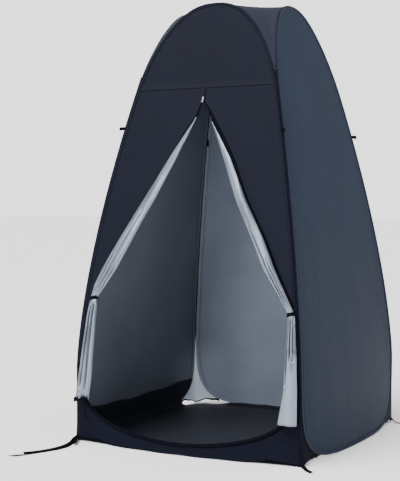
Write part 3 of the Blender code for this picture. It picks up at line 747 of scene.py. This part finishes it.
def make_side(side, sign):
    """The part of a door flap that stays flat, from the hoop to where the roll leaves the wall."""
    rows, threads = [], []
    columns, steps = 26, 110
    bottom = TAILS[side] + 0.012
    top = SEAM_Z + 0.004
    for r in range(steps + 1):
        z = bottom + (top - bottom) * r / steps
        outer = outline_u(FRONT_EDGE, z)
        if z > ROLL_TOPS[side]:
            inner, lift = max(roll_edges(z, side)[0], 0.0005), 0.0
        else:
            inner, _, _ = roll_size(z, side)
            lift = ROLL_GAP * smooth_step((ROLL_TOPS[side] - z) / 0.10)
        row, line = [], []
        for c in range(columns + 1):
            share = c / columns
            u = inner + (outer - inner) * share
            edge = (1 - share) * (outer - inner)
            out = rumple("front", sign * u, z, edge, z * sign) * smooth_step((u - inner) / 0.05)
            out += lift * (1 - smooth_step((u - inner) / 0.018))
            row.append(on_wall("front", sign * u, z, out))
            line.append((sign * u, z))
        add_row(rows, threads, row, line, sign < 0)
    made = sheet("door_side_" + side, rows, ("navy", "lining"), threads)
    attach(made, "front")
    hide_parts("door_flap_" + side)


def make_valance():
    """The fixed top of the door wall, its hem lapped over the flaps at the cross seam."""
    columns = 44
    bottom = SEAM_Z - 0.006
    heights = [bottom, bottom + 0.003, SEAM_Z + 0.006]
    heights += [p.y for p in FRONT_EDGE if p.y > SEAM_Z + 0.012][:-1]
    rows, threads = [], []
    for z in heights:
        half = outline_u(FRONT_EDGE, z)
        lap = 0.0018 if z < SEAM_Z + 0.003 else 0.0006 if z < SEAM_Z + 0.01 else 0.0
        row = []
        for c in range(columns + 1):
            share = 2 * c / columns - 1
            edge = (1 - abs(share)) * half
            out = rumple("front", half * share, z, edge, z * copysign(1.0, share))
            row.append(on_wall("front", half * share, z, out + lap))
            threads.append((half * share, z))
        rows.append(row)
    top = on_wall("front", 0.0, FRONT_EDGE[-1].y)
    made = sheet("door_valance", rows, ("navy", "lining"), threads, top)
    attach(made, "front")
    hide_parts("front_valance")


def make_zip_tapes():
    """The zip's woven tapes: one down each flap's edge, and the closed pair above the slider's place."""
    for side, sign in (("left", -1), ("right", 1)):
        rows, threads = [], []
        steps = 60
        for r in range(steps + 1):
            z = TIES[side] + 0.03 + (DOOR_TOP - TIES[side] - 0.03) * r / steps
            inner, outer = roll_edges(z, side)
            wide, spread = (0.017, 0.40) if side == "right" else (0.012, 0.20)
            widen = smooth_step((z - 1.55 + spread) / spread)
            shown = 0.0045 + wide * widen * smooth_step((DOOR_TOP + 0.005 - z) / 0.12)
            if z > ROLL_TOPS[side]:
                inner, outer = inner + 0.0008, outer + shown
            else:
                inner, outer = (inner + outer) / 2 + 0.15 * (outer - inner), outer + shown
            row, line = [], []
            for c in range(5):
                share = c / 4
                u = inner + (outer - inner) * share
                out = 0.0022 + 0.0014 * sin(pi * share) + 0.0006 * sin(z * 70.0 + 2.0 * share)
                row.append(on_wall("front", sign * u, z, out))
                line.append((z, u - outer + 0.0075))
            add_row(rows, threads, row, line, sign < 0)
        made = sheet("zip_tape_" + side, rows, ("hem", "hem"), threads)
        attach(made, "front")
    rows, threads = [], []
    for r in range(9):
        z = DOOR_TOP + (SEAM_Z - 0.004 - DOOR_TOP) * r / 8
        row = []
        for u in (-0.008, -0.0030, -0.0022, 0.0, 0.0022, 0.0030, 0.008):
            lift = 0.0026 if abs(u) < 0.003 else 0.0012
            row.append(on_wall("front", u, z, lift))
            threads.append((z, u))
        rows.append(row)
    made = sheet("zip_closed", rows, ("navy", "navy"), threads)
    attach(made, "front")
    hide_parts("zip_coil")


def make_tail_tape():
    """The end of the left flap's zip tape, crumpled along the bottom of its tail and sticking out past it."""
    rows, threads = [], []
    steps = 60
    for k in range(steps + 1):
        share = k / steps
        u = 0.490 + 0.092 * share
        z = 0.219 + 0.003 * sin(share * 17.0) + 0.002 * sin(share * 37.0 + 1.0) - 0.010 * share
        out = 0.044 + 0.004 * sin(share * 15.0 + 2.0) + 0.002 * sin(share * 33.0)
        tip = 0.30 * sin(share * 19.0)
        half = 0.0065 + 0.0065 * smooth_step((share - 0.55) / 0.35)
        row = []
        for across in (-1.0, -0.5, 0.0, 0.5, 1.0):
            row.append(on_wall("front", -u, z + across * half * cos(tip), out + across * 0.005 * sin(tip)))
            threads.append((share * 0.10, across * 0.0075))
        rows.append(row)
    made = sheet("tail_tape_left", rows, ("tape", "tape"), threads, thickness=0.0012)
    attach(made, "front")


def make_tie(side, sign):
    """The loop of woven tape round the rolled flap, its free end standing off the outer side."""
    tie = TIES[side]
    centre, half, depth = roll_size(tie, side)
    rings, threads = [], []
    steps = 44
    run = 0.0
    last = None
    for k in range(steps):
        share = k / steps
        angle = tau * share
        ring = []
        tilt = 0.0045 * cos(angle) * sign
        pinch = 1.0 - 0.22 * exp(-((share - 0.25) / 0.10) ** 2)
        for grow, rise in ((0.0, -1), (0.0, 1), (0.0014, 1), (0.0014, 0), (0.0014, -1)):
            u = centre + (half + 0.0008 + grow) * cos(angle)
            out = ROLL_GAP + depth + (depth + 0.0026 + grow + 0.0012 * sin(9 * angle)) * sin(angle)
            ring.append(on_wall("front", sign * u, tie + tilt + rise * 0.0095 * pinch, out))
        if last:
            run += (ring[0] - last).length
        last = ring[0]
        rings.append(ring)
        threads += [(run, rise * 0.009) for _, rise in ((0, -1), (0, 1), (0, 1), (0, 0), (0, -1))]
    made = tube("door_tie_ring_" + side, rings, ("tape",), threads, closed=True)
    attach(made, "front")
    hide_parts("door_tie_" + side)


# Skirt, gussets and floor -----------------------------------------------------

def ground_lift(wall, u, z):
    """The cloth's bottom edge rises off the ground between the places where it is held down."""
    share = (abs(u) - 0.36) / 0.22
    if wall == "front":
        rise = 0.013 if u < 0 else 0.008
        wave = sin(pi * min(1.0, max(0.0, share))) * rise + 0.0018 * (1 + sin(u * 31.0 + 1.0))
    else:
        wave = sin(pi * min(1.0, max(0.0, (abs(u) - 0.42) / 0.17))) * 0.018
        wave += 0.0035 * (1.0 + sin(u * 85.0)) * smooth_step((abs(u) - 0.40) / 0.06)
    return wave * max(0.0, 1 - z / 0.10) ** 2


def low_cloth(wall, u, z, out=0.0):
    """A point on cloth that reaches the ground."""
    return on_wall(wall, u, z + ground_lift(wall, u, z), out)


def make_skirt():
    """The strip below the door sill, down to the ground."""
    outline = hoop_outline("front", CLEAR)
    columns, steps = 110, 12
    rows, threads = [], []
    for r in range(steps + 1):
        row = []
        up = (r / steps) ** 1.3
        half = 0.440 + 0.135 * up ** 0.75
        for c in range(columns + 1):
            u = half * (2 * c / columns - 1)
            top = outline_z(outline, abs(u))
            z = GROUND + (top - GROUND) * up
            wave = 0.004 * ripple(u * 9.0, z * 5.0, 4.0) * sin(pi * r / steps)
            row.append(low_cloth("front", u, z, wave * smooth_step((half - abs(u)) / 0.05) - 0.0014))
            threads.append((u, z))
        rows.append(row)
    slots = [2 if r == 0 else 0 for r in range(steps) for _ in range(columns)]
    made = sheet("skirt", rows, ("skirt", "lining", "hem", "hem"), threads, slots=slots)
    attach(made, "front")
    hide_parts("front_skirt")


def gusset_edge(wall, count):
    """A gusset's edge along a wall's hoop, from the ground up, as (u, z)."""
    outline = hoop_outline(wall, CLEAR)
    foot = GUSSET_FEET.get(wall, ((GUSSET_START, GROUND),))
    start = foot[-1][0] + (0.025 if wall == "front" else 0.0)
    low = outline_z(outline, start)
    path = [Vector(p) for p in foot] + [Vector((start, low))]
    path += [p for p in outline if low + 0.004 < p.y < GUSSET_TOP - 0.01]
    path.append(Vector((outline_u(outline, GUSSET_TOP), GUSSET_TOP)))
    return evenly(path, count)


def gusset_slots(rows):
    """The paint of each face of a corner's cloth: its hem, the plain triangle, then the strip above."""
    slots = []
    for r in range(len(rows) - 1):
        slots += [4 if r == 0 else 0 if r < GUSSET_PLAIN_ROWS else 2] * (len(rows[0]) - 1)
    return slots


def gusset_rows(first, second, halves=(True, True), flare=(0.0, 0.0, 0.0)):
    """Rows of a corner's cloth, from the first wall's hoop round the corner to the second's."""
    count, across = 90, 7
    ends = (gusset_edge(first, count), gusset_edge(second, count))
    rows, threads = [], []
    for i in range(count + 1):
        height = GROUND + (GUSSET_TOP - GROUND) * (i / count) ** 1.25
        corner = Vector((lean(height), height))
        pulled = Vector(flare) * max(0.0, 1.0 - height / 0.11) ** 2
        row = []
        if halves[0]:
            for c in range(across):
                at = ends[0][i].lerp(corner, c / across)
                out = 0.003 * ripple(at.x * 8, at.y * 5, 2.0) * sin(pi * c / across)
                row.append(low_cloth(first, at.x, at.y, out) + pulled * (c / across) ** 2)
                threads.append((at.x - corner.x, at.y, 5.0))
        row.append(turn(first) @ Vector((lean(height), -lean(height), height)) + pulled)
        threads.append((0.0, height, 5.0))
        if halves[1]:
            for c in range(1, across + 1):
                at = corner.lerp(ends[1][i], c / across)
                out = 0.003 * ripple(at.x * 8, at.y * 5, 6.0) * sin(pi * c / across)
                row.append(low_cloth(second, -at.x, at.y, out) + pulled * (1 - c / across) ** 2)
                threads.append((corner.x - at.x, at.y, 5.0))
        rows.append(row)
    return rows, threads


def sew_gusset(name, replaced, first, second, inner, halves=(True, True)):
    """One corner's cloth, or one half of it."""
    rows, threads = gusset_rows(first, second, halves, FLARES.get(name, (0.0, 0.0, 0.0)))
    paints = ("skirt", inner, "skirt", "skirt", "hem", "hem")
    made = sheet("corner_" + name, rows, paints, threads, slots=gusset_slots(rows))
    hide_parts(replaced)
    return made


def make_gussets():
    """The cloth round each corner, from one wall's hoop to the next. At the rear right, the open corner, it
    is split.
    """
    # The rear left corner's inside takes the backlit paint: painted light shining through its cloth.
    for name, first, second, inner in (("front_right", "front", "right", "lining"),
                                       ("front_left", "left", "front", "lining"),
                                       ("rear_left", "rear", "left", "backlit_gusset")):
        made = sew_gusset(name, "gusset_" + name, first, second, inner)
        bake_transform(made)
    for wall, halves in (("right", (True, False)), ("rear", (False, True))):
        made = sew_gusset("rear_right_" + wall, "gusset_rear_right", "right", "rear", "lining",
                          halves)
        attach(made, wall)


LEFT_HOOP = hoop_outline("left")


def make_floor():
    """The loose groundsheet, rumpled on the ground, its left edge turned up inside the left wall."""
    columns, flat_steps, up_steps = 56, 52, 12
    rows, threads = [], []
    for c in range(columns + 1):
        share = c / columns
        row = []
        for i in range(flat_steps + up_steps + 1):
            flat = min(1.0, i / flat_steps)
            front_y = FLOOR_INSET - wall_distance("front", 0.58 * (1 - 2 * flat), 0.0)
            rise = max(0.0, (i - flat_steps) / up_steps)
            across = FLOOR_RIGHT - FLOOR_WIDTH * flat
            rear_y = wall_distance("rear", across, 0.0) - 0.008 - 0.006 * sin(across * 46.0)
            if rise > 0:
                rear_y = min(0.600, max(0.455, outline_u(LEFT_HOOP, FLOOR_TURN_UP * rise) - 0.004))
            elif across < -0.54:
                rear_y += (0.480 - rear_y) * ((-0.54 - across) / 0.052) ** 2
            y = front_y + (rear_y - front_y) * share
            left = -(wall_distance("left", min(0.59, abs(y)), 0.0) - 0.024)
            x = FLOOR_RIGHT + (left - FLOOR_RIGHT) * flat
            wave = ripple(x * 3.0, y * 3.0, 8.0) + 0.5 * ripple(x * 9.0, y * 7.0, 3.0)
            z = 0.0012 + 0.0045 * max(0.0, wave + 0.25) * smooth_step(min(share, 1 - share) / 0.05)
            z += 0.015 * smooth_step((share - 0.965) / 0.035) * smooth_step((across + 0.47) / 0.10)
            if rise > 0:
                top = FLOOR_TURN_UP + 0.010 - 0.030 * sin(pi * share) + 0.004 * sin(share * 23.0)
                z += top * rise
                x -= 0.010 * sin(pi / 2 * min(1.0, rise * 4)) - 0.004 * wave * sin(pi * rise)
            row.append(Vector((x, y, z)))
            threads.append((x, y, z))
        rows.append(row)
    made = sheet("floor", rows, ("floor", "floor"), threads)
    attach(made, "front")
    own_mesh(made)
    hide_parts("groundsheet")


# Roof -------------------------------------------------------------------------

def roof_height(x, y, arch):
    """The cloth runs level from arch to arch across each corner, with a slight sag between them."""
    reach = abs(x) + abs(y)
    height = arch[-1].y
    for a, b in zip(arch, arch[1:]):
        near, far = b.x + lean(b.y), a.x + lean(a.y)
        if near <= reach <= far:
            height = a.y + (b.y - a.y) * (far - reach) / max(1e-9, far - near)
            break
    else:
        if reach > arch[0].x + lean(arch[0].y):
            height = arch[0].y
    edge = lean(height)
    return height - ROOF_SAG * max(0.0, 1 - (x / edge) ** 2) * max(0.0, 1 - (y / edge) ** 2)


def make_gore(wall):
    """One quarter of the roof, from a wall's arch to the diagonals; two gores lap over their neighbours."""
    arch = [p for p in hoop_outline(wall, 0.0, 160) if p.y >= GORE_START]
    fine = [p for p in hoop_outline(wall, 0.0, 400) if p.y >= GORE_START - 0.02]
    lap = 0.007 if wall in ("front", "rear") else 0.001
    side = []
    for p in arch:
        on_arch = Vector((p.x, -lean(p.y)))
        reach = (p.x + lean(p.y)) / 2 * min(1.0, p.x / GORE_DIAMOND)
        inner = Vector((reach, -reach))
        into = (inner - on_arch).normalized()
        side.append((on_arch + into * GORE_EDGE, inner + into * lap * min(1.0, p.x / 0.05)))
    mirror = [(Vector((-a.x, a.y)), Vector((-b.x, b.y))) for a, b in side]
    lines = mirror + list(reversed(side[:-1]))
    steps = 14
    rows, threads = [], []
    for r in range(steps + 1):
        row = []
        for outer, inner in lines:
            at = outer.lerp(inner, r / steps)
            lift = 0.0010 * smooth_step((r / steps - 0.9) / 0.1) if lap > 0.005 else 0.0
            wave = 0.0028 * ripple(at.x * 6.0, at.y * 6.0, 1.0) * sin(pi * r / steps)
            row.append(turn(wall) @ Vector((at.x, at.y, roof_height(at.x, at.y, fine) + wave + lift)))
            threads.append((at.x, at.y, 9.0))
        rows.append(row)
    made = sheet("roof_" + wall, rows, ("roof", "lining"), threads)
    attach(made, wall)
    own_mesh(made)
    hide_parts("roof_gore_" + wall)


# Straps, loops and peg --------------------------------------------------------

def smooth_route(route, count):
    """A smooth curve through the route's points, read off at equal steps."""
    fine = []
    last = len(route) - 1
    for i in range(last):
        p0, p1 = route[max(i - 1, 0)], route[i]
        p2, p3 = route[i + 1], route[min(i + 2, last)]
        for k in range(12):
            t = k / 12
            fine.append(0.5 * (2 * p1 + (p2 - p0) * t + (2 * p0 - 5 * p1 + 4 * p2 - p3) * t * t
                               + (3 * p1 - p0 - 3 * p2 + p3) * t ** 3))
    fine.append(route[last])
    return evenly(fine, count)


def strap_route(sx, sy, length, sway):
    """Runs out from a ground corner, drops to the ground and wanders."""
    start = BASE_HALF - 0.001
    out = Vector((sx, sy, 0.0)).normalized()
    side = Vector((-out.y, out.x, 0.0))
    route = []
    for i in range(9):
        share = i / 8
        wave = sway * sin(2.2 * pi * share) * (0.3 + 0.7 * share)
        place = Vector((sx * start, sy * start, 0)) + out * length * share + side * wave
        route.append(Vector((place.x, place.y, STRAP_Z + 0.012 * (1 - share) ** 6)))
    return route


FRONT_LEFT_ROUTE = [Vector(p) for p in (
    (-0.5985, -0.5985, 0.0160), (-0.589, -0.645, 0.0095), (-0.560, -0.705, 0.0035), (-0.544, -0.762, 0.0029),
    (-0.547, -0.820, 0.0029), (-0.559, -0.862, 0.0029), (-0.575, -0.905, 0.0029), (-0.594, -0.950, 0.0029),
    (-0.611, -0.985, 0.0029), (-0.620, -1.002, 0.0029),
)]
REAR_RIGHT_ROUTE = [Vector(p) for p in (
    (0.599, 0.599, 0.0149), (0.619, 0.590, 0.0060), (0.634, 0.573, 0.0029), (0.651, 0.561, 0.0029),
    (0.669, 0.558, 0.0029), (0.684, 0.565, 0.0029), (0.692, 0.580, 0.0029), (0.694, 0.597, 0.0029),
)]


def make_strap(name, node_name, body, route, width, lean_over):
    """A flat webbing strap on the ground, tipped up on one edge by about lean_over degrees."""
    length = sum((b - a).length for a, b in zip(route, route[1:]))
    points = smooth_route(route, round(length / 0.006))
    half, thick = width / 2, 0.0018
    section = ((-1, 0.35), (-0.92, 0.5), (0.0, 0.5), (0.92, 0.5), (1, 0.35),
               (1, -0.35), (0.92, -0.5), (0.0, -0.5), (-0.92, -0.5), (-1, -0.35))
    rings, threads = [], []
    run = 0.0
    for i, point in enumerate(points):
        ahead = (points[min(i + 1, len(points) - 1)] - points[max(i - 1, 0)]).normalized()
        share = i / (len(points) - 1)
        lying = lean_over - 0.33 * lean_over * share + 0.25 * lean_over * sin(share * 6.5)
        angle = radians(80 + (lying - 80) * smooth_step(share / 0.25))
        flat = ahead.cross(Vector((0, 0, 1))).normalized()
        side = (flat * cos(angle) + Vector((0, 0, 1)) * sin(angle)).normalized()
        normal = ahead.cross(side).normalized()
        rest = half * abs(side.z) + thick * abs(normal.z) / 2 + 0.0004
        points[i] = Vector((point.x, point.y, max(point.z, rest)))
        if i:
            run += (points[i] - points[i - 1]).length
        rings.append([points[i] + side * half * a + normal * thick * b for a, b in section])
        threads += [(run, 0.0075 * a, 0.0) for a, b in section]
    made = tube(name, rings, ("tape",), threads)
    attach(made, body)
    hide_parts(node_name)


def make_peg():
    """A bent wire peg lying on the ground, the strap's end in its bow."""
    run = PEG_RUN
    side = Vector((-run.y, run.x, 0.0))
    path = [side * 0.018 + run * 0.052, side * 0.016 + run * 0.030]
    for i in range(9):
        angle = pi * (i / 8)
        path.append(side * 0.007 * (1 + cos(angle)) + run * (-0.006 * sin(angle) + 0.006))
    path += [run * 0.03, run * 0.06, run * 0.077]
    rings, threads = [], []
    for i, point in enumerate(path):
        along = (path[min(i + 1, len(path) - 1)] - path[max(i - 1, 0)]).normalized()
        across = along.cross(Vector((0, 0, 1))).normalized()
        slim = 0.35 if i == len(path) - 1 else 1.0
        ring = []
        for k in range(12):
            angle = tau * k / 12
            round_it = across * cos(angle) + Vector((0, 0, sin(angle)))
            ring.append(PEG_PLACE + point + round_it * PEG_R * slim)
            threads.append((point.length, 0.0, 0.0))
        rings.append(ring)
    made = tube("ground_peg", rings, ("peg",), threads)
    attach(made, "peg")
    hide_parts("peg_front_left")


def make_strap_end():
    """The front left strap's spare end, turned back below the corner."""
    rows, threads = [], []
    for k in range(9):
        share = k / 8
        centre = Vector((-0.592 + 0.062 * share, -0.606 - 0.112 * share, 0.0125 - 0.0035 * share))
        side = Vector((0.0060, 0.0034, 0.0042))
        centre.z += 0.0012 * sin(9 * share)
        rows.append([centre + side * across for across in (-1, 0, 1)])
        threads += [(0.045 * share, 0.0075 * across) for across in (-1, 0, 1)]
    made = sheet("strap_spare_end", rows, ("hem", "hem"), threads, thickness=0.0036)
    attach(made, "front")


def tape_loop(name, steps, thick, half, place):
    """A closed loop of tape. place gives a point from the angle round it, how far out, and which edge."""
    rings, threads = [], []
    for k in range(steps):
        angle = tau * k / steps
        section = ((0, -1), (0, 0), (0, 1), (thick, 1), (thick, 0), (thick, -1))
        rings.append([place(angle, grow, edge) for grow, edge in section])
        threads += [(0.018 * angle, edge * half, 0.0) for _, edge in section]
    return tube(name, rings, ("tape",), threads, closed=True)


def make_guy_loop(corner, wall, sign, lift):
    """Tape folded into a loop and sewn into the corner seam."""
    reach = lean(GUY_Z + lift - 0.008) + 0.0018
    seam = turn(wall) @ Vector((sign * reach, -reach, GUY_Z + lift))
    outward = Vector((seam.x, seam.y, 0.0)).normalized()
    sideways = Vector((-outward.y, outward.x, 0.0))

    def place(angle, grow, edge):
        narrow = 0.60 + 0.40 * smooth_step((1 + cos(angle)) / 1.2)
        along = (0.0125 + grow) * cos(angle) + 0.0070
        over = (0.0055 * narrow + grow) * sin(angle)
        sag = -0.003 * (along / 0.024) ** 2 * (1 if along > 0 else 0)
        return seam + outward * along + sideways * over + Vector((0, 0, edge * 0.008 + sag))

    made = tape_loop("guy_tape_" + corner, 36, 0.0022, 0.0075, place)
    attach(made, wall)
    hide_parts("guy_loop_" + corner)


def make_hanging_loop():
    """A narrow tape loop sewn into the rear left corner's seam, hanging down inside."""
    inward = Vector((1.0, -1.0, 0.0)).normalized()
    sideways = Vector((1.0, 1.0, 0.0)).normalized()

    def place(angle, grow, edge):
        down = Vector((0, 0, (0.0175 + grow) * cos(angle)))
        return HANGING_LOOP + down + inward * (0.0035 + grow) * sin(angle) + sideways * edge * 0.0036

    made = tape_loop("hanging_loop", 32, 0.0010, 0.0036, place)
    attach(made, "left")
    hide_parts("inner_hanging_loop")


# Studio -----------------------------------------------------------------------

def soft_light(name, place, aim, size, power, beam):
    """A round soft light; with a beam angle it is a narrow spot."""
    light = bpy.data.lights.new(name, "SPOT" if beam else "AREA")
    if beam:
        light.spot_size = radians(beam)
        light.spot_blend = 1.0
        light.shadow_soft_size = size / 2
    else:
        light.shape = "DISK"
        light.size = size
    light.energy = power
    made = show(name, light)
    made.location = place
    made.rotation_euler = (Vector(aim) - Vector(place)).to_track_quat("-Z", "Y").to_euler()


def make_studio():
    """A plain pale floor, an even pale surround and soft lights."""
    mesh = bpy.data.meshes.new("studio_floor")
    reach = 60.0
    corners = [(x * reach, y * reach, -0.0005) for x, y in ((-1, -1), (1, -1), (1, 1), (-1, 1))]
    mesh.from_pydata(corners, [], [(0, 1, 2, 3)])
    mesh.materials.append(plain_floor_paint())
    show("studio_floor", mesh)
    world = bpy.data.worlds.new("surround")
    world.use_nodes = True
    tree = world.node_tree
    sky = tree.nodes["Background"]
    sky.inputs["Color"].default_value = (1.0, 1.0, 1.0, 1.0)
    seen = node(tree, "ShaderNodeLightPath").outputs["Is Camera Ray"]
    tree.links.new(ranged(tree, seen, AMBIENT, BACKDROP), sky.inputs["Strength"])
    bpy.context.scene.world = world
    sun = bpy.data.lights.new("overhead", "SUN")
    sun.energy = SUN
    sun.angle = radians(SUN_WIDTH)
    show("overhead", sun).rotation_euler = Vector(SUN_FROM).to_track_quat("Z", "Y").to_euler()
    for name, values in LIGHTS.items():
        soft_light(name, *values)
    bpy.data.objects["inside"].visible_camera = False


def repaint(node_name, paint):
    """Gives a part of the frame that shows as it is its own look."""
    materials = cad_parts[node_name].data.materials
    materials.clear()
    materials.append(PAINT[paint])


# Assembly ---------------------------------------------------------------------

make_camera()

make_peg()
for corner, body, route, width, lean_over, end, held in (
        ("front_left", "front", FRONT_LEFT_ROUTE, 0.020, 46, "tool", ("ground_peg",)),
        ("front_right", "front", strap_route(1, -1, 0.135, 0.003), 0.016, -34, "bare", ()),
        ("rear_right", "right", REAR_RIGHT_ROUTE, 0.012, 30, "bare", ()),
        ("rear_left", "left", strap_route(-1, 1, 0.16, -0.012), 0.012, 30, "bare", ())):
    make_strap("ground_strap_" + corner, "peg_strap_" + corner, body, route, width, lean_over)

make_strap_end()
for name in WALLS:
    make_binding(name)
for name in ("right", "rear", "left"):
    make_wall(name)
make_valance()
for side, sign in (("left", -1), ("right", 1)):
    make_side(side, sign)
    make_roll(side, sign)
    make_tie(side, sign)
make_zip_tapes()
make_tail_tape()
make_skirt()
make_gussets()
make_floor()
for name, joint in (("front", "fold_right"), ("right", "fold_right"),
                    ("rear", "fold_rear"), ("left", "fold_left")):
    make_gore(name)
for corner, wall, sign, lift in (("front_left", "front", -1, 0.018), ("front_right", "front", 1, -0.010),
                                 ("rear_right", "right", 1, -0.006), ("rear_left", "left", -1, -0.006)):
    make_guy_loop(corner, wall, sign, lift)
make_hanging_loop()

repaint("zip_slider", "nickel")
repaint("zip_pull", "nickel")
for name in WALLS:
    repaint(name + "_hoop", "steel")
    repaint(name + "_hoop_ferrule", "steel")

make_studio()
